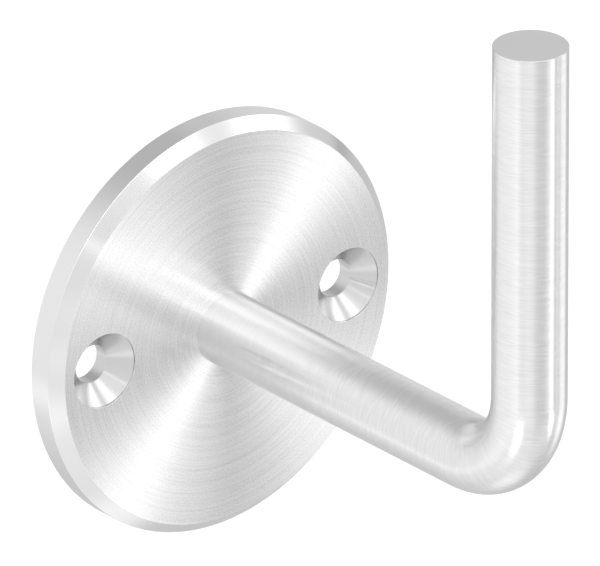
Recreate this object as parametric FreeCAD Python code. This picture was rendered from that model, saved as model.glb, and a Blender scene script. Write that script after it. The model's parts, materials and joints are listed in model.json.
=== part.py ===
# Wall bracket for a handrail, in stainless steel.
# A turned round plate is screwed to the wall through two countersunk holes. A round bar stands out of
# the plate's centre, turns upwards in one bend, and carries the rail on its square-cut top end.
# The bar passes through the plate and is welded in a groove at the back, so that the front shows no weld.
#
# Millimetres. The origin is the centre of the plate's back face, where it meets the wall.
# +Y points into the wall, -Y out into the room, +Z up.

import FreeCAD
import Part
import math
import os

# Wall plate
plate_diameter = 70.0
plate_thickness = 6.0
plate_chamfer = 2.0            # 45 degrees, round the front edge

# Countersunk screw holes, side by side on the plate's level centre line
screw_spacing = 50.0
screw_hole_diameter = 6.4      # clears a 6 mm screw
countersink_diameter = 12.4    # mouth of the countersink
countersink_angle = 90.0       # degrees, the whole cone
countersink_lip = 0.3          # straight wall between the cone and the plate's face

# Bent bar
bar_diameter = 12.0
bar_reach = 80.0               # wall to the upright's centre line
bar_rise = 75.0                # level centre line to the square-cut top end
bend_radius = 15.0             # of the centre line

# Joint between the bar and the plate
bore_clearance = 0.02          # radial, between the bar and the plate's bore
weld_groove = 2.0              # leg of the 45 degree groove round the bore's back edge
weld_setback = 0.4             # bar end and weld edge, below the plate's back face
weld_crown = 0.15              # how far the bead stands above its edges

X_AXIS = FreeCAD.Vector(1, 0, 0)
Y_AXIS = FreeCAD.Vector(0, 1, 0)
ORIGIN = FreeCAD.Vector(0, 0, 0)
FULL_TURN = 360.0
BEND_ANGLE = 90.0

bar_radius = bar_diameter / 2
bore_radius = bar_radius + bore_clearance


def section_point(radius, depth):
    """A point of a turned part's half section: its radius, and its depth in front of the wall."""
    return FreeCAD.Vector(radius, -depth, 0)


def turned(outline):
    """The solid that a closed half section makes when it turns about the Y axis."""
    face = Part.Face(Part.Wire(outline))
    return face.revolve(ORIGIN, Y_AXIS, FULL_TURN)


def straight_outline(points):
    """The edges of a closed outline with straight sides."""
    return [Part.makeLine(a, b) for a, b in zip(points, points[1:] + points[:1])]


def screw_hole_cutter():
    """The space of one countersunk hole, on the Y axis: bore, cone, lip, and room in front of the face."""
    hole_radius = screw_hole_diameter / 2
    mouth_radius = countersink_diameter / 2
    lip_depth = plate_thickness - countersink_lip
    cone_height = (mouth_radius - hole_radius) / math.tan(math.radians(countersink_angle / 2))
    overrun = plate_thickness
    return turned(straight_outline([
        section_point(0, -overrun),
        section_point(hole_radius, -overrun),
        section_point(hole_radius, lip_depth - cone_height),
        section_point(mouth_radius, lip_depth),
        section_point(mouth_radius, plate_thickness + overrun),
        section_point(0, plate_thickness + overrun),
    ]))


def wall_plate():
    """The turned plate: chamfered front edge, centre bore with its weld groove, and two screw holes."""
    plate_radius = plate_diameter / 2
    disc = turned(straight_outline([
        section_point(bore_radius, weld_groove),
        section_point(bore_radius + weld_groove, 0),
        section_point(plate_radius, 0),
        section_point(plate_radius, plate_thickness - plate_chamfer),
        section_point(plate_radius - plate_chamfer, plate_thickness),
        section_point(bore_radius, plate_thickness),
    ]))
    cutter = screw_hole_cutter()
    holes = [cutter.translated(X_AXIS * (side * screw_spacing / 2)) for side in (-1, 1)]
    return disc.cut(holes)


def bent_bar():
    """The round bar: level length from the weld, one bend, and the upright."""
    start = FreeCAD.Vector(0, -weld_setback, 0)
    level_length = bar_reach - bend_radius - weld_setback
    end_face = Part.Face(Part.Wire(Part.makeCircle(bar_radius, start, Y_AXIS)))
    level = end_face.extrude(FreeCAD.Vector(0, -level_length, 0))

    bend_centre = FreeCAD.Vector(0, -(bar_reach - bend_radius), bend_radius)
    bend_start = end_face.translated(FreeCAD.Vector(0, -level_length, 0))
    bend = bend_start.revolve(bend_centre, X_AXIS, -BEND_ANGLE)

    foot = FreeCAD.Vector(0, -bar_reach, bend_radius)
    upright = Part.makeCylinder(bar_radius, bar_rise - bend_radius, foot)
    return level.fuse([bend, upright]).removeSplitter()


def back_weld():
    """The weld bead: a ring that fills the groove between the bar and the plate, with a low crown."""
    root_inner = section_point(bar_radius, weld_groove)
    root_outer = section_point(bore_radius, weld_groove)
    outer_edge = section_point(bore_radius + weld_groove - weld_setback, weld_setback)
    inner_edge = section_point(bar_radius, weld_setback)
    middle_radius = (outer_edge.x + inner_edge.x) / 2
    crown = section_point(middle_radius, weld_setback - weld_crown)
    return turned([
        Part.makeLine(inner_edge, root_inner),
        Part.makeLine(root_inner, root_outer),
        Part.makeLine(root_outer, outer_edge),
        Part.Arc(outer_edge, crown, inner_edge).toShape(),
    ])


def main():
    os.makedirs("parts", exist_ok=True)
    pieces = {
        "wall_plate": wall_plate(),
        "bent_bar": bent_bar(),
        "back_weld": back_weld(),
    }
    for name, shape in pieces.items():
        shape.exportStep(f"parts/{name}.step")
        print(f"{name}: {len(shape.Solids)} solid, {shape.Volume:.1f} mm3, valid {shape.isValid()}")


main()
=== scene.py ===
"""Looks of a steel handrail bracket.

It is a brushed round wall plate, a bent round bar and the weld that joins them. Everything is in
metres, in the part's own frame: the wall is the plane y = 0, the room lies towards -Y, +Z is up.
"""

import json
import math
from typing import NamedTuple

import bmesh
import bpy
from bpy.props import FloatProperty, FloatVectorProperty, IntProperty, PointerProperty
from mathutils import Matrix, Vector


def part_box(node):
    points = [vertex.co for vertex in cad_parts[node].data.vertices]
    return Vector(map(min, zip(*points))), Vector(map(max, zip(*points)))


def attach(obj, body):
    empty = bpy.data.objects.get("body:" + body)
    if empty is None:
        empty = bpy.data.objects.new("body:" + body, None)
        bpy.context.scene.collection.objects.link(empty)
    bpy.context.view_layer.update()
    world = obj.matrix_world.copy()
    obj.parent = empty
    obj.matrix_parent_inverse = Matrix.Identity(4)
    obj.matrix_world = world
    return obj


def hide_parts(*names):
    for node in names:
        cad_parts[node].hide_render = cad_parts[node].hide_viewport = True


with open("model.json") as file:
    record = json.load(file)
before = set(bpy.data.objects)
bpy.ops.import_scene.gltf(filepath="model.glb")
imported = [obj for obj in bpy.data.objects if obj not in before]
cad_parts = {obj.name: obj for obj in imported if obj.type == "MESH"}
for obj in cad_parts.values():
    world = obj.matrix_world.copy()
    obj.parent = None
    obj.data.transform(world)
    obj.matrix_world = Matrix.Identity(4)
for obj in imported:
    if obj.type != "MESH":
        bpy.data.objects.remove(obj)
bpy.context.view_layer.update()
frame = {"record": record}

bl_info = {
    "name": "Handrail bracket",
    "version": (1, 0, 0),
    "blender": (4, 5, 0),
    "location": "3D View > Sidebar > Bracket",
    "description": "Models and finishes a brushed steel handrail bracket",
    "category": "Add Mesh",
}

MM = 0.001
MOUNTS = {mount["name"]: mount for mount in frame["record"]["mounts"]}

# Sizes that the frame gives
PLATE_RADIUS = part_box("wall_plate")[1].x
PLATE_THICKNESS = -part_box("wall_plate")[0].y
BAR_RADIUS = MOUNTS["rail_bar"]["dims"]["r_mm"] * MM
BAR_REACH = -MOUNTS["rail_end"]["pos_m"][1]
BAR_TOP = MOUNTS["rail_end"]["pos_m"][2]
BAR_START = -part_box("bent_bar")[1].y
HOLE_RADIUS = MOUNTS["wall_screws"]["dims"]["hole_r_mm"] * MM
HOLE_OFFSET = MOUNTS["wall_screws"]["dims"]["spacing_x_mm"] * MM / 2
WELD_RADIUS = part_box("back_weld")[1].x

X_AXIS = Vector((1, 0, 0))
Y_AXIS = Vector((0, 1, 0))
QUARTER_TURN = math.radians(90)

SAME_POINT = 0.0001 * MM
SHARP_FROM = math.radians(35)
EDGE_BREAK_SEGMENTS = 3
SQUARE_ON = 0.999  # a normal's share along an axis from which the face counts as square to it

# The finishes, in the order of each piece's material slots
BRUSHED_FACE, TURNED_EDGE, COUNTERSINK, PLAIN_BACK = range(4)
GROUND_SKIN, SAWN_END = range(2)


def length(name, description, default):
    """A size in metres, shown in the scene's own unit."""
    return FloatProperty(
        name=name, description=description, default=default, min=0, unit="LENGTH", precision=5)


def share(name, description, default):
    """A number from 0 to 1."""
    return FloatProperty(
        name=name, description=description, default=default, min=0, max=1, subtype="FACTOR")


def colour(name, description, default):
    """A plain colour without alpha."""
    return FloatVectorProperty(
        name=name, description=description, default=default, min=0, max=1, subtype="COLOR")


def count(name, description, default, least, most):
    """A whole number."""
    return IntProperty(name=name, description=description, default=default, min=least, max=most)


class BracketSizes(bpy.types.PropertyGroup):
    """Sizes that the frame doesn't give."""

    chamfer: length("Chamfer", "Leg of the chamfer round the plate's front edge", 2.0 * MM)
    countersink_radius: length("Countersink radius", "Radius of the countersinks' mouths", 6.2 * MM)
    countersink_lip: length("Countersink lip", "Straight wall between cone and face", 0.3 * MM)
    weld_groove: length("Weld groove", "Leg of the groove round the bar at the back", 2.0 * MM)
    weld_crown: length("Weld crown", "Height of the bead above its edges", 0.12 * MM)
    weld_ripple: length("Weld ripple", "Height of the ripples along the bead", 0.05 * MM)
    bend_radius: length("Bend radius", "Radius of the bar's centre line in the bend", 15.0 * MM)
    edge_break: length("Edge break", "How far sharp edges are rubbed off", 0.06 * MM)
    turn_steps: count("Turn steps", "Facets round a full turn", 256, 32, 512)
    bend_steps: count("Bend steps", "Facets along the bend", 64, 8, 256)
    weld_ripples: count("Weld ripples", "Ripples round the weld", 34, 8, 80)


class BracketFinish(bpy.types.PropertyGroup):
    """How finely each surface is ground, and how much its scratches run one way."""

    face_roughness: share("Face roughness", "Roughness of the plate's brushed face", 0.32)
    face_grain: share("Face grain", "How much the face's scratches run in circles", 1.0)
    edge_roughness: share("Edge roughness", "Roughness of the plate's rim and chamfer", 0.17)
    edge_grain: share("Edge grain", "How much the edge's scratches run round the plate", 0.75)
    sink_roughness: share("Countersink roughness", "Roughness of the screw holes", 0.2)
    sink_grain: share("Countersink grain", "How much the cutter's marks run round the holes", 0.9)
    bar_roughness: share("Bar roughness", "Roughness of the bar's skin", 0.24)
    bar_grain: share("Bar grain", "How much the bar's scratches run round it", 0.75)
    sawn_roughness: share("Sawn roughness", "Roughness of the bar's sawn top", 0.25)
    back_roughness: share("Back roughness", "Roughness of the plate's back", 0.5)
    back_grain: share("Back grain", "How much the back's scratches run in circles", 0.6)
    weld_roughness: share("Weld roughness", "Roughness of the weld bead", 0.4)
    outline_tint: share("Outline tint", "How much the steel still mirrors at its outline", 0.85)


class BracketColours(bpy.types.PropertyGroup):
    """Colours of the steel and of the stage."""

    steel: colour("Steel", "Colour of the bright steel", (0.9, 0.9, 0.9))
    # Painted shade: the screw holes' steel is darker than the other steel, as shade in their
    # recesses
    countersink_steel_and_shade: colour("Countersink", "Colour of the screw holes' cut steel", (0.72, 0.72, 0.72))
    weld: colour("Weld", "Colour of the weld bead", (0.75, 0.75, 0.75))
    floor: colour("Floor", "Colour of the floor", (0.8, 0.8, 0.8))


# Meshes


def finished_mesh(name, bm):
    """Turns a bmesh into a mesh with merged doubles and its faces pointing outwards."""
    bmesh.ops.remove_doubles(bm, verts=bm.verts, dist=SAME_POINT)
    bmesh.ops.recalc_face_normals(bm, faces=bm.faces)
    mesh = bpy.data.meshes.new(name)
    bm.to_mesh(mesh)
    bm.free()
    return mesh


def mesh_object(name, mesh):
    """Links a finished mesh into the scene, with its object at the origin."""
    piece = bpy.data.objects.new(name, mesh)
    bpy.context.scene.collection.objects.link(piece)
    return piece


def profile_point(radius, depth):
    """A point of a turned part's half section: its radius, and its depth in front of the wall."""
    return Vector((radius, -depth, 0))


def draw_profile(bm, points, closed=True):
    """Joins the points with straight edges, and returns the vertices."""
    verts = [bm.verts.new(point) for point in points]
    ends = verts[1:] + verts[:1] if closed else verts[1:]
    for a, b in zip(verts, ends):
        bm.edges.new((a, b))
    return verts


def turn(bm, steps):
    """Spins everything drawn so far a full turn about the Y axis."""
    bmesh.ops.spin(
        bm, geom=bm.verts[:] + bm.edges[:], cent=(0, 0, 0), axis=Y_AXIS, dvec=(0, 0, 0),
        angle=math.tau, steps=steps, use_merge=True, use_normal_flip=False, use_duplicate=False)


def shade(piece):
    """Smooth shading that keeps flat faces flat and sharp edges sharp."""
    piece.data.shade_smooth()
    piece.data.set_sharp_from_angle(angle=SHARP_FROM)
    modifier = piece.modifiers.new("Flat faces", "WEIGHTED_NORMAL")
    modifier.mode = "FACE_AREA"
    modifier.weight = 100  # the largest faces alone
    modifier.keep_sharp = True


def plate_disc(sizes):
    """The plate with its bore and its weld groove, and without its screw holes."""
    bm = bmesh.new()
    corners = draw_profile(bm, [
        profile_point(BAR_RADIUS, sizes.weld_groove),
        profile_point(BAR_RADIUS + sizes.weld_groove, 0),
        profile_point(PLATE_RADIUS, 0),
        profile_point(PLATE_RADIUS, PLATE_THICKNESS - sizes.chamfer),
        profile_point(PLATE_RADIUS - sizes.chamfer, PLATE_THICKNESS),
        profile_point(BAR_RADIUS, PLATE_THICKNESS),
    ])
    rim_corners = corners[2:5]
    bmesh.ops.bevel(
        bm, geom=rim_corners, offset=sizes.edge_break, offset_type="OFFSET", affect="VERTICES",
        segments=EDGE_BREAK_SEGMENTS, profile=0.5, material=-1)
    turn(bm, sizes.turn_steps)
    return finished_mesh("plate", bm)


def screw_hole_cutter(sizes):
    """The space of one screw hole, on the Y axis, with rubbed edges at the plate's two faces."""
    mouth = sizes.countersink_radius
    rub = sizes.edge_break
    lip_depth = PLATE_THICKNESS - sizes.countersink_lip
    overrun = PLATE_THICKNESS
    bm = bmesh.new()
    draw_profile(bm, [
        profile_point(0, -overrun),
        profile_point(HOLE_RADIUS + rub, -overrun),
        profile_point(HOLE_RADIUS + rub, 0),
        profile_point(HOLE_RADIUS, rub),
        profile_point(HOLE_RADIUS, lip_depth - (mouth - HOLE_RADIUS)),
        profile_point(mouth, lip_depth),
        profile_point(mouth, PLATE_THICKNESS - rub),
        profile_point(mouth + rub, PLATE_THICKNESS),
        profile_point(mouth + rub, PLATE_THICKNESS + overrun),
        profile_point(0, PLATE_THICKNESS + overrun),
    ], closed=False)
    turn(bm, sizes.turn_steps)
    return finished_mesh("screw_hole_cutter", bm)


def cut(piece, cutter_mesh, place):
    """Cuts the cutter's shape, moved to its place, out of the piece for good."""
    mesh = cutter_mesh.copy()
    mesh.transform(Matrix.Translation(place))
    cutter = mesh_object("cutter", mesh)
    modifier = piece.modifiers.new("Screw hole", "BOOLEAN")
    modifier.operation = "DIFFERENCE"
    modifier.solver = "EXACT"
    modifier.object = cutter
    depsgraph = bpy.context.evaluated_depsgraph_get()
    result = bpy.data.meshes.new_from_object(piece.evaluated_get(depsgraph))
    piece.modifiers.clear()
    piece.data = result
    bpy.data.objects.remove(cutter)


def plate_finish(face, sizes):
    """Which of the plate's finishes a face has, from where it lies and points."""
    to_hole = math.hypot(abs(face.center.x) - HOLE_OFFSET, face.center.z)
    hole_reach = sizes.countersink_radius + sizes.edge_break
    if to_hole < hole_reach and abs(face.normal.y) < SQUARE_ON:
        return COUNTERSINK
    if face.normal.y < -SQUARE_ON:
        return BRUSHED_FACE
    if face.normal.y > 1 - SQUARE_ON:  # anything that leans back, so the weld groove too
        return PLAIN_BACK
    return TURNED_EDGE


def build_plate(sizes, finish, colours):
    """The wall plate with its two countersunk holes."""
    piece = mesh_object("plate", plate_disc(sizes))
    cutter = screw_hole_cutter(sizes)
    for side in (-1, 1):
        cut(piece, cutter, X_AXIS * (side * HOLE_OFFSET))
    for make in (brushed_face, turned_edge, bright_countersink, plain_back):
        piece.data.materials.append(make(finish, colours))
    for face in piece.data.polygons:
        face.material_index = plate_finish(face, sizes)
    shade(piece)
    return piece


def parts_of(geometry, kind):
    """The vertices, edges or faces among an operator's results."""
    return [item for item in geometry if isinstance(item, kind)]


def bar_skin(sizes):
    """The bar: a disc at the weld, drawn out level, round the bend and up to the sawn top."""
    level_length = BAR_REACH - sizes.bend_radius - BAR_START
    bm = bmesh.new()
    disc = bmesh.ops.create_circle(
        bm, cap_ends=False, radius=BAR_RADIUS, segments=sizes.turn_steps // 2)
    upended = Matrix.Translation((0, -BAR_START, 0)) @ Matrix.Rotation(QUARTER_TURN, 4, "X")
    bmesh.ops.transform(bm, matrix=upended, verts=disc["verts"])
    start = bm.edges[:]
    bmesh.ops.edgeloop_fill(bm, edges=start)

    level = bmesh.ops.extrude_edge_only(bm, edges=start)["geom"]
    bmesh.ops.translate(bm, verts=parts_of(level, bmesh.types.BMVert), vec=(0, -level_length, 0))

    bend_centre = (0, sizes.bend_radius - BAR_REACH, sizes.bend_radius)
    level_end = parts_of(level, bmesh.types.BMVert) + parts_of(level, bmesh.types.BMEdge)
    bend = bmesh.ops.spin(
        bm, geom=level_end, cent=bend_centre, axis=-X_AXIS, dvec=(0, 0, 0), angle=QUARTER_TURN,
        steps=sizes.bend_steps, use_merge=False, use_normal_flip=False,
        use_duplicate=False)["geom_last"]

    upright = bmesh.ops.extrude_edge_only(bm, edges=parts_of(bend, bmesh.types.BMEdge))["geom"]
    rise = BAR_TOP - sizes.bend_radius
    bmesh.ops.translate(bm, verts=parts_of(upright, bmesh.types.BMVert), vec=(0, 0, rise))
    top = parts_of(upright, bmesh.types.BMEdge)
    bmesh.ops.edgeloop_fill(bm, edges=top)
    bmesh.ops.bevel(
        bm, geom=top, offset=sizes.edge_break, offset_type="OFFSET", affect="EDGES",
        segments=EDGE_BREAK_SEGMENTS, profile=0.5, material=-1)
    return finished_mesh("bar", bm)


def build_bar(sizes, finish, colours):
    """The bent bar with its ground skin and its two sawn ends."""
    piece = mesh_object("bar", bar_skin(sizes))
    piece.data.materials.append(ground_bar(sizes, finish, colours))
    piece.data.materials.append(sawn_end(finish, colours))
    for face in piece.data.polygons:
        is_end = len(face.vertices) > 4 and max(face.normal.y, face.normal.z) > SQUARE_ON
        face.material_index = SAWN_END if is_end else GROUND_SKIN
    shade(piece)
    return piece


def build_weld(sizes, finish, colours):
    """The weld ring: a crowned bead with ripples, in the groove at the plate's back."""
    rows_across = 12
    ripple_lag = 2.2  # how far a ripple trails at the bead's edges, in radians of its own wave
    surface_band = 0.01 * MM  # what lies further from the bead's surface is its root
    width = WELD_RADIUS - BAR_RADIUS
    edge_depth = sizes.weld_groove - width
    bm = bmesh.new()
    inner, _, outer = draw_profile(bm, [
        profile_point(BAR_RADIUS, edge_depth),
        profile_point(BAR_RADIUS, sizes.weld_groove),
        profile_point(WELD_RADIUS, edge_depth),
    ])
    surface = bm.edges.get((inner, outer))
    bmesh.ops.subdivide_edges(bm, edges=[surface], cuts=rows_across - 1)
    turn(bm, 2 * sizes.turn_steps)
    for vert in bm.verts:
        if abs(vert.co.y + edge_depth) > surface_band:
            continue
        across = 2 * (math.hypot(vert.co.x, vert.co.z) - BAR_RADIUS) / width - 1
        dome = 1 - across * across
        turned = math.atan2(vert.co.z, vert.co.x)
        ripple = abs(math.sin((sizes.weld_ripples * turned + ripple_lag * across * across) / 2))
        vert.co.y += dome * (sizes.weld_crown + sizes.weld_ripple * ripple)
    piece = mesh_object("weld", finished_mesh("weld", bm))
    piece.data.materials.append(weld_bead(finish, colours))
    shade(piece)
    return piece


def carry(piece, node):
    """The piece takes the node's place: it hangs on the root body, and the node is hidden."""
    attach(piece, "root")
    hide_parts(node)


# Finishes


class Graph:
    """A node tree, with short calls for the nodes that the finishes and the studio are made of."""

    def __init__(self, tree):
        self.nodes = tree.nodes
        self.links = tree.links

    def put(self, socket, value):
        """Feeds a socket with another node's output, or sets its value."""
        if isinstance(value, bpy.types.NodeSocket):
            self.links.new(value, socket)
        else:
            socket.default_value = value

    def math(self, operation, *values):
        """The result of a sum with numbers."""
        node = self.nodes.new("ShaderNodeMath")
        node.operation = operation
        for socket, value in zip(node.inputs, values):
            self.put(socket, value)
        return node.outputs["Value"]

    def vector(self, operation, *values):
        """The result of a sum with vectors."""
        node = self.nodes.new("ShaderNodeVectorMath")
        node.operation = operation
        for socket, value in zip(node.inputs, values):
            self.put(socket, value)
        return node.outputs["Value" if operation in ("LENGTH", "DOT_PRODUCT") else "Vector"]

    def combine(self, x, y, z):
        """The vector with these three parts."""
        node = self.nodes.new("ShaderNodeCombineXYZ")
        for socket, value in zip(node.inputs, (x, y, z)):
            self.put(socket, value)
        return node.outputs["Vector"]

    def place(self):
        """The Object coordinates' X, Y and Z."""
        coordinates = self.nodes.new("ShaderNodeTexCoord")
        node = self.nodes.new("ShaderNodeSeparateXYZ")
        self.links.new(coordinates.outputs["Object"], node.inputs["Vector"])
        return node.outputs["X"], node.outputs["Y"], node.outputs["Z"]

    def polar(self, x, z):
        """The distance from a line along Y, and the direction away from it."""
        offset = self.combine(x, 0.0, z)
        return self.vector("LENGTH", offset), self.vector("NORMALIZE", offset)

    def streaks(self, across, pitch, direction, shortness, detail=2.0):
        """Noise drawn out into scratches, a pitch apart, that change slowly with the direction."""
        node = self.nodes.new("ShaderNodeTexNoise")
        node.inputs["Scale"].default_value = 1.0
        node.inputs["Detail"].default_value = detail
        along = self.vector("MULTIPLY", direction, (shortness,) * 3)
        step = self.vector("MULTIPLY", self.combine(across, across, across), (1 / pitch,) * 3)
        self.links.new(self.vector("ADD", along, step), node.inputs["Vector"])
        return node.outputs["Fac"]

    def grain(self, point, pitch):
        """Noise of the same size in every direction."""
        node = self.nodes.new("ShaderNodeTexNoise")
        node.inputs["Scale"].default_value = 1 / pitch
        self.links.new(point, node.inputs["Vector"])
        return node.outputs["Fac"]

    def mix(self, a, b, weight):
        """Both values' weighted sum, with this weight from 0 to 1 on the first."""
        return self.math("MULTIPLY_ADD", a, weight, self.math("MULTIPLY", b, 1 - weight))

    def around(self, centre, value, amount):
        """Centre, made up to amount less or more as value goes from 0 to 1."""
        return self.math("MULTIPLY_ADD", value, 2 * amount, centre - amount)

    def tinted(self, plain, value, amount):
        """The plain colour, made up to amount darker or lighter as value goes from 0 to 1."""
        node = self.nodes.new("ShaderNodeVectorMath")
        node.operation = "SCALE"
        node.inputs[0].default_value = plain
        self.links.new(self.around(1.0, value, amount), node.inputs["Scale"])
        return node.outputs["Vector"]

    def seen_straight(self):
        """1 for what the camera sees straight or through glass, else 0."""
        path = self.nodes.new("ShaderNodeLightPath")
        return self.math(
            "MAXIMUM", path.outputs["Is Camera Ray"], path.outputs["Is Transmission Ray"])

    def choose(self, switch, off, on):
        """Off where the switch is 0 and on where it is 1."""
        node = self.nodes.new("ShaderNodeMix")
        for socket, value in zip(node.inputs, (switch, None, off, on)):
            if value is not None:
                self.put(socket, value)
        return node.outputs["Result"]


class Steel(Graph):
    """The nodes of a bare steel finish."""

    def __init__(self, name, finish):
        self.material = bpy.data.materials.new(name)
        self.material.use_nodes = True
        super().__init__(self.material.node_tree)
        self.shader = self.nodes["Principled BSDF"]
        self.shader.inputs["Metallic"].default_value = 1.0
        self.shader.inputs["Specular Tint"].default_value = (*(finish.outline_tint,) * 3, 1.0)

    def bump(self, height, depth):
        """Bends the normals as if value 1 stood this much above value 0."""
        node = self.nodes.new("ShaderNodeBump")
        node.inputs["Distance"].default_value = depth
        self.links.new(height, node.inputs["Height"])
        self.links.new(node.outputs["Normal"], self.shader.inputs["Normal"])

    def metal(self, colour, roughness, grain=0.0, across=None):
        """The material. Grain is how far highlights are drawn out across the scratches."""
        self.links.new(colour, self.shader.inputs["Base Color"])
        self.links.new(roughness, self.shader.inputs["Roughness"])
        self.shader.inputs["Anisotropic"].default_value = grain
        if across is not None:
            self.links.new(across, self.shader.inputs["Tangent"])
        return self.material


def brushed_face(finish, colours):
    """The plate's front, brushed in circles round the middle."""
    graph = Steel("brushed_face", finish)
    x, y, z = graph.place()
    radius, away = graph.polar(x, z)
    scratches = graph.streaks(radius, pitch=0.3 * MM, direction=away, shortness=1.6)
    pits = graph.grain(graph.combine(x, y, z), pitch=0.25 * MM)
    graph.bump(scratches, depth=0.008 * MM)
    colour = graph.tinted(colours.steel, graph.mix(scratches, pits, weight=0.4), amount=0.5)
    roughness = graph.around(finish.face_roughness, scratches, amount=0.05)
    return graph.metal(colour, roughness, finish.face_grain, across=away)


def turned_edge(finish, colours):
    """The plate's rim and chamfer, turned on a lathe."""
    graph = Steel("turned_edge", finish)
    x, y, z = graph.place()
    radius, away = graph.polar(x, z)
    over_edge = graph.math("SUBTRACT", radius, y)
    streak = graph.streaks(over_edge, pitch=0.1 * MM, direction=away, shortness=4.0)
    graph.bump(streak, depth=0.003 * MM)
    colour = graph.tinted(colours.steel, streak, amount=0.03)
    roughness = graph.around(finish.edge_roughness, streak, amount=0.02)
    return graph.metal(colour, roughness, finish.edge_grain, across=graph.combine(*Y_AXIS))


def bright_countersink(finish, colours):
    """The screw holes, cut bright, with their steel painted darker as shade in the recesses."""
    graph = Steel("bright_countersink", finish)
    x, y, z = graph.place()
    sideways = graph.math("SUBTRACT", graph.math("ABSOLUTE", x), HOLE_OFFSET)
    radius, away = graph.polar(sideways, z)
    down_cone = graph.math("SUBTRACT", radius, y)
    streak = graph.streaks(down_cone, pitch=0.15 * MM, direction=away, shortness=2.0)
    graph.bump(streak, depth=0.001 * MM)
    # Painted shade: the holes' colour is darker than the plate's steel
    colour = graph.tinted(colours.countersink_steel_and_shade, streak, amount=0.02)
    roughness = graph.around(finish.sink_roughness, streak, amount=0.02)
    mirrored = graph.math("MULTIPLY", sideways, graph.math("SIGN", x))
    outwards = graph.vector("NORMALIZE", graph.combine(mirrored, 0.0, z))
    slope = graph.vector("SUBTRACT", outwards, Y_AXIS)
    return graph.metal(colour, roughness, finish.sink_grain, across=slope)


def plain_back(finish, colours):
    """The plate's back and the weld groove, faced on a lathe and left so."""
    graph = Steel("plain_back", finish)
    x, _, z = graph.place()
    radius, away = graph.polar(x, z)
    rings = graph.streaks(radius, pitch=0.3 * MM, direction=away, shortness=1.0)
    graph.bump(rings, depth=0.01 * MM)
    colour = graph.tinted(colours.steel, rings, amount=0.06)
    roughness = graph.around(finish.back_roughness, rings, amount=0.05)
    return graph.metal(colour, roughness, finish.back_grain, across=away)


def ground_bar(sizes, finish, colours):
    """The bar's skin, ground so that its scratches run round it, also in the bend."""
    graph = Steel("ground_bar", finish)
    waviness = 0.8 * MM
    x, y, z = graph.place()
    before_bend = graph.math("ADD", y, BAR_REACH - sizes.bend_radius)
    above_bend = graph.math("SUBTRACT", z, sizes.bend_radius)
    out_y = graph.math("MINIMUM", before_bend, 0.0)
    out_z = graph.math("MINIMUM", above_bend, 0.0)
    out = graph.combine(0.0, out_y, out_z)
    run = graph.vector("CROSS_PRODUCT", graph.vector("NORMALIZE", out), X_AXIS)
    angle = graph.math("ARCTAN2", *(graph.math("MULTIPLY", part, -1.0) for part in (out_y, out_z)))
    level = graph.math("MULTIPLY", graph.math("MAXIMUM", before_bend, 0.0), -1.0)
    upright = graph.math("MAXIMUM", above_bend, 0.0)
    path = graph.math("ADD", graph.math("MULTIPLY_ADD", angle, sizes.bend_radius, level), upright)
    rise = graph.math("SUBTRACT", graph.vector("LENGTH", out), sizes.bend_radius)
    round_bar = graph.vector("MULTIPLY", graph.combine(x, rise, 0.0), (1 / BAR_RADIUS,) * 3)
    drift = graph.streaks(path, pitch=3.0 * MM, direction=round_bar, shortness=1.5)
    wavy_path = graph.math("MULTIPLY_ADD", drift, waviness, path)
    scratches = graph.streaks(wavy_path, pitch=0.19 * MM, direction=round_bar, shortness=2.5)
    graph.bump(scratches, depth=0.006 * MM)
    colour = graph.tinted(colours.steel, graph.mix(scratches, drift, weight=0.85), amount=0.16)
    roughness = graph.around(finish.bar_roughness, scratches, amount=0.05)
    return graph.metal(colour, roughness, finish.bar_grain, across=run)


def sawn_end(finish, colours):
    """The bar's ends, sawn square and matt."""
    graph = Steel("sawn_end", finish)
    x, y, z = graph.place()
    skew = 0.2
    saw_marks = graph.math("ADD", x, graph.math("MULTIPLY", y, skew))
    along = graph.combine(0.0, y, z)
    streak = graph.streaks(saw_marks, pitch=0.2 * MM, direction=along, shortness=1.0)
    graph.bump(streak, depth=0.004 * MM)
    colour = graph.tinted(colours.steel, streak, amount=0.02)
    return graph.metal(colour, graph.around(finish.sawn_roughness, streak, amount=0.03))


def weld_bead(finish, colours):
    """The weld, brushed clean, with a fine grain that runs no way."""
    graph = Steel("weld_bead", finish)
    x, y, z = graph.place()
    point = graph.combine(x, y, z)
    grain = graph.streaks(y, pitch=0.05 * MM, direction=point, shortness=4000.0, detail=3.0)
    graph.bump(grain, depth=0.01 * MM)
    colour = graph.tinted(colours.weld, grain, amount=0.1)
    return graph.metal(colour, graph.around(finish.weld_roughness, grain, amount=0.1))


# Stage

# Where the camera stands, in degrees, the point that it aims at, along its own three axes, its
# distance from there, and its lens and film in millimetres
CAMERA_AZIMUTH = -39.755
CAMERA_ELEVATION = 25.055
AIM_RIGHT = 15.389 * MM
AIM_UP = 5.122 * MM
AIM_BACK = 40 * MM
CAMERA_DISTANCE = 4.2
CAMERA_LENS = 1607.5
CAMERA_FILM = 36
CAMERA_CLIP_END = 20


def bearing(azimuth, elevation):
    """The unit vector towards this azimuth and elevation, in degrees."""
    azimuth = math.radians(azimuth)
    elevation = math.radians(elevation)
    level = math.cos(elevation)
    return Vector((math.sin(azimuth) * level, -math.cos(azimuth) * level, math.sin(elevation)))


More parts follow.
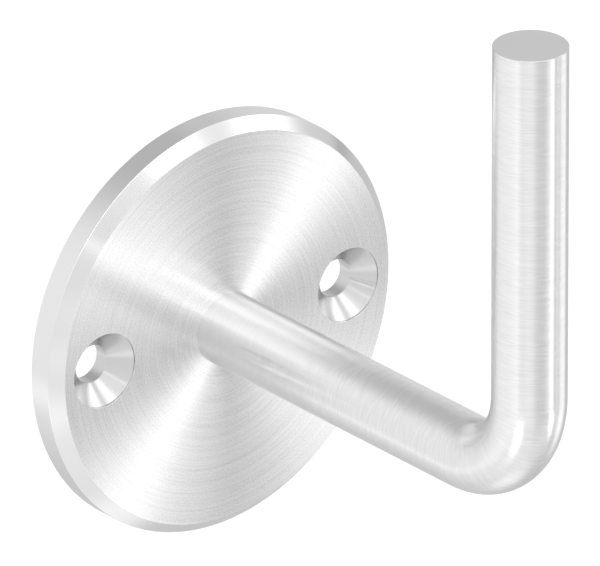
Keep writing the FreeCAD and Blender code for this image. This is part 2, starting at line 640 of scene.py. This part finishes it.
def build_camera():
    """A long lens at the photograph's angle, so far off that it shows almost no perspective."""
    back = bearing(CAMERA_AZIMUTH, CAMERA_ELEVATION)
    right = bearing(CAMERA_AZIMUTH + 90, 0)
    up = back.cross(right)
    aim = right * AIM_RIGHT + up * AIM_UP + back * AIM_BACK
    data = bpy.data.cameras.new("camera")
    data.lens = CAMERA_LENS
    data.sensor_width = CAMERA_FILM
    data.clip_end = CAMERA_CLIP_END
    camera = bpy.data.objects.new("camera", data)
    turned = Matrix((right, up, back)).transposed().to_4x4()
    camera.matrix_world = Matrix.Translation(aim + back * CAMERA_DISTANCE) @ turned
    bpy.context.scene.collection.objects.link(camera)
    bpy.context.scene.camera = camera


class SoftPanel(NamedTuple):
    """A soft oval of the studio's walls: a softbox if it adds light, a flag if it takes light away.

    Azimuth 0 is straight in front of the plate and 90 is towards +X. All but the light is in
    degrees. The light is a share of the white room's, and is added to it.
    """

    name: str
    azimuth: float
    elevation: float
    half_width: float
    half_height: float
    tilt: float
    light: float


# The softboxes make the bright bands on the bar and the fans of light on the brushed face, and the
# flags make the darker ones between them
PANELS = (
    SoftPanel("overhead strip", -35, 60, 43, 9, 45, 3.25),
    SoftPanel("upper left softbox", -45, 20, 23, 41, -60, 0.45),
    SoftPanel("upper right softbox", 80, 40, 6, 79, -75, 0.15),
    SoftPanel("key strip", 10, -5, 5, 45, 50, 0.95),
    SoftPanel("right strip", 55, -10, 7, 17, -35, 1.7),
    SoftPanel("low softbox", 35, -35, 5, 7, 85, 2.6),
    SoftPanel("low left glow", -90, -30, 59, 7, 15, 0.2),
    SoftPanel("front flag", -10, 10, 51, 21, -85, -0.3),
    SoftPanel("low right flag", 80, -30, 38, 55, 10, -0.3),
    SoftPanel("middle flag", 30, -5, 5, 20, 35, -0.85),
    SoftPanel("right flag", 55, -20, 40, 6, 20, -0.7),
    SoftPanel("wall side flag", 170, 20, 60, 31, -85, -0.45),
    SoftPanel("upper left flag", -50, 25, 13, 53, -20, -0.75),
    SoftPanel("right glow", 75, -20, 14, 27, 15, 0.7),
    SoftPanel("low left spot", -72, -42, 10, 14, -45, 0.75),
    SoftPanel("glow from below", 160, -85, 15, 12, 10, 0.35),
    SoftPanel("far right flag", 55, -5, 10, 27, 75, -0.95),
    SoftPanel("front window", 20, 30, 13, 42, 0, 0.5),
    SoftPanel("right window", 60, 25, 11, 16, 60, 1.9),
)
PANEL_SOFTNESS = 0.45  # how far a panel fades in and out of its oval, as a share of its size
WHITE_ROOM = 0.89
DARKEST_WALL = 0.02
FLOOR_DEPTH = 0.9
FLOOR_HALF_WIDTH = 6.0
FLOOR_ROUGHNESS = 0.9


def panel_turn(panel):
    """The rotation whose X runs along the panel's width, Y along its height and Z towards it."""
    towards = bearing(panel.azimuth, panel.elevation)
    across = bearing(panel.azimuth + 90, 0)
    upright = Matrix((across, towards.cross(across), towards)).transposed()
    return upright @ Matrix.Rotation(math.radians(panel.tilt), 3, "Z")


def panel_light(graph, direction, panel):
    """The light that a panel adds in each direction."""
    turned = panel_turn(panel)
    local = graph.nodes.new("ShaderNodeMapping")
    local.vector_type = "TEXTURE"
    local.label = panel.name
    local.inputs["Rotation"].default_value = turned.to_euler()
    local.inputs["Scale"].default_value = (
        math.sin(math.radians(panel.half_width)), math.sin(math.radians(panel.half_height)), 1)
    graph.links.new(direction, local.inputs["Vector"])
    flattened = graph.vector("MULTIPLY", local.outputs["Vector"], (1, 1, 0))
    off_centre = graph.vector("LENGTH", flattened)
    edge = graph.nodes.new("ShaderNodeMapRange")
    edge.interpolation_type = "SMOOTHSTEP"
    edge.inputs["From Min"].default_value = 1 + PANEL_SOFTNESS
    edge.inputs["From Max"].default_value = 1 - PANEL_SOFTNESS
    edge.inputs["To Max"].default_value = panel.light
    graph.links.new(off_centre, edge.inputs["Value"])
    facing = graph.vector("DOT_PRODUCT", direction, turned.col[2])
    in_front = graph.math("GREATER_THAN", facing, 0.0)
    return graph.math("MULTIPLY", edge.outputs["Result"], in_front)


def build_world():
    """A white room with soft panels round the bracket. The camera sees plain white."""
    world = bpy.data.worlds.new("studio")
    world.use_nodes = True
    graph = Graph(world.node_tree)
    direction = graph.nodes.new("ShaderNodeTexCoord").outputs["Generated"]
    light = 1.0
    for panel in PANELS:
        light = graph.math("ADD", light, panel_light(graph, direction, panel))
    light = graph.math("MULTIPLY", graph.math("MAXIMUM", light, DARKEST_WALL), WHITE_ROOM)
    seen = graph.seen_straight()
    background = graph.nodes["Background"]
    graph.links.new(graph.choose(seen, light, 1.0), background.inputs["Strength"])
    background.inputs["Color"].default_value = (1, 1, 1, 1)
    bpy.context.scene.world = world


def build_floor(colours):
    """A plain pale floor, far below as under a handrail, and white where nothing shades it."""
    bm = bmesh.new()
    bmesh.ops.create_grid(bm, x_segments=1, y_segments=1, size=FLOOR_HALF_WIDTH)
    bmesh.ops.translate(bm, verts=bm.verts, vec=(0, 0, -FLOOR_DEPTH))
    mesh = bpy.data.meshes.new("floor")
    bm.to_mesh(mesh)
    bm.free()
    floor = mesh_object("floor", mesh)
    floor.visible_glossy = False
    material = bpy.data.materials.new("floor")
    material.use_nodes = True
    graph = Graph(material.node_tree)
    shader = graph.nodes["Principled BSDF"]
    shader.inputs["Base Color"].default_value = (*colours.floor, 1)
    shader.inputs["Roughness"].default_value = FLOOR_ROUGHNESS
    shader.inputs["Emission Color"].default_value = (1, 1, 1, 1)
    lift = graph.math("MULTIPLY", graph.seen_straight(), 1 - min(colours.floor))
    graph.links.new(lift, shader.inputs["Emission Strength"])
    mesh.materials.append(material)


# Operators and panel


class BracketStep:
    """What the bracket's operators share."""

    bl_options = {"REGISTER", "UNDO"}

    def settings(self, context):
        scene = context.scene
        return scene.bracket_sizes, scene.bracket_finish, scene.bracket_colours


class BRACKET_OT_plate(BracketStep, bpy.types.Operator):
    """Make the wall plate and its finishes"""

    bl_idname = "bracket.plate"
    bl_label = "Wall plate"

    def execute(self, context):
        carry(build_plate(*self.settings(context)), "wall_plate")
        return {"FINISHED"}


class BRACKET_OT_bar(BracketStep, bpy.types.Operator):
    """Make the bent bar and its finishes"""

    bl_idname = "bracket.bar"
    bl_label = "Bent bar"

    def execute(self, context):
        carry(build_bar(*self.settings(context)), "bent_bar")
        return {"FINISHED"}


class BRACKET_OT_weld(BracketStep, bpy.types.Operator):
    """Make the weld at the plate's back"""

    bl_idname = "bracket.weld"
    bl_label = "Back weld"

    def execute(self, context):
        carry(build_weld(*self.settings(context)), "back_weld")
        return {"FINISHED"}


class BRACKET_OT_stage(bpy.types.Operator):
    """Set up the floor, the lights and the camera"""

    bl_idname = "bracket.stage"
    bl_label = "Stage"
    bl_options = {"REGISTER", "UNDO"}

    def execute(self, context):
        context.scene.view_settings.view_transform = "Standard"
        build_world()
        build_floor(context.scene.bracket_colours)
        build_camera()
        return {"FINISHED"}


class BRACKET_PT_panel(bpy.types.Panel):
    """The bracket's settings and steps"""

    bl_idname = "BRACKET_PT_panel"
    bl_label = "Handrail bracket"
    bl_space_type = "VIEW_3D"
    bl_region_type = "UI"
    bl_category = "Bracket"

    def draw(self, context):
        scene = context.scene
        for settings in (scene.bracket_sizes, scene.bracket_finish, scene.bracket_colours):
            column = self.layout.column(align=True)
            for name in settings.__annotations__:
                column.prop(settings, name)
        for operator in OPERATORS:
            self.layout.operator(operator.bl_idname)


OPERATORS = (BRACKET_OT_plate, BRACKET_OT_bar, BRACKET_OT_weld, BRACKET_OT_stage)
CLASSES = (BracketSizes, BracketFinish, BracketColours, *OPERATORS, BRACKET_PT_panel)


def register():
    for item in CLASSES:
        bpy.utils.register_class(item)
    bpy.types.Scene.bracket_sizes = PointerProperty(type=BracketSizes)
    bpy.types.Scene.bracket_finish = PointerProperty(type=BracketFinish)
    bpy.types.Scene.bracket_colours = PointerProperty(type=BracketColours)


def unregister():
    del bpy.types.Scene.bracket_colours
    del bpy.types.Scene.bracket_finish
    del bpy.types.Scene.bracket_sizes
    for item in reversed(CLASSES):
        bpy.utils.unregister_class(item)


def main():
    register()
    bpy.ops.bracket.plate()
    bpy.ops.bracket.bar()
    bpy.ops.bracket.weld()
    bpy.ops.bracket.stage()


if __name__ == "__main__":
    main()
